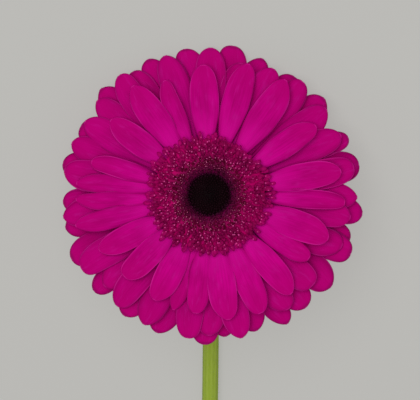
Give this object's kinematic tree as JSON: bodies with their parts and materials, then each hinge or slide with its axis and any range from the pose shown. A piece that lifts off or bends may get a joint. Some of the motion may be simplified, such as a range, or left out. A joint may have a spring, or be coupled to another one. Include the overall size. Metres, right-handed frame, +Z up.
{
  "type": "cut gerbera",
  "caption": "Cut gerbera daisy lying down, its bloom turned up: three overlapping rows of rays, a ring of open florets, a dark middle, a green cup and a long leafless stem.",
  "frame": {"origin": "on the flat underside of the stem, 12 mm past the end of the neck's bend, on the surface that the flower lies on", "axes": "+Z up from the surface, +Y along the stem to its cut end; the bloom faces up and towards -Y"},
  "size_m": [0.1124, 0.3467, 0.0608],
  "materials": {
    "stem": "satin green skin with fine ridges and short hairs",
    "bracts": "matte green, finely hairy",
    "rays": "soft magenta petal with a pale rim",
    "florets": "wine-red with pale pink tips",
    "buds": "nearly black, matte"
  },
  "bodies": {
    "root": {"stem": "stem", "involucre": "bracts", "back_rays": "rays", "middle_rays": "rays", "front_rays": "rays", "floret_ring": "florets", "dark_middle": "buds"}
  },
  "joints": []
}
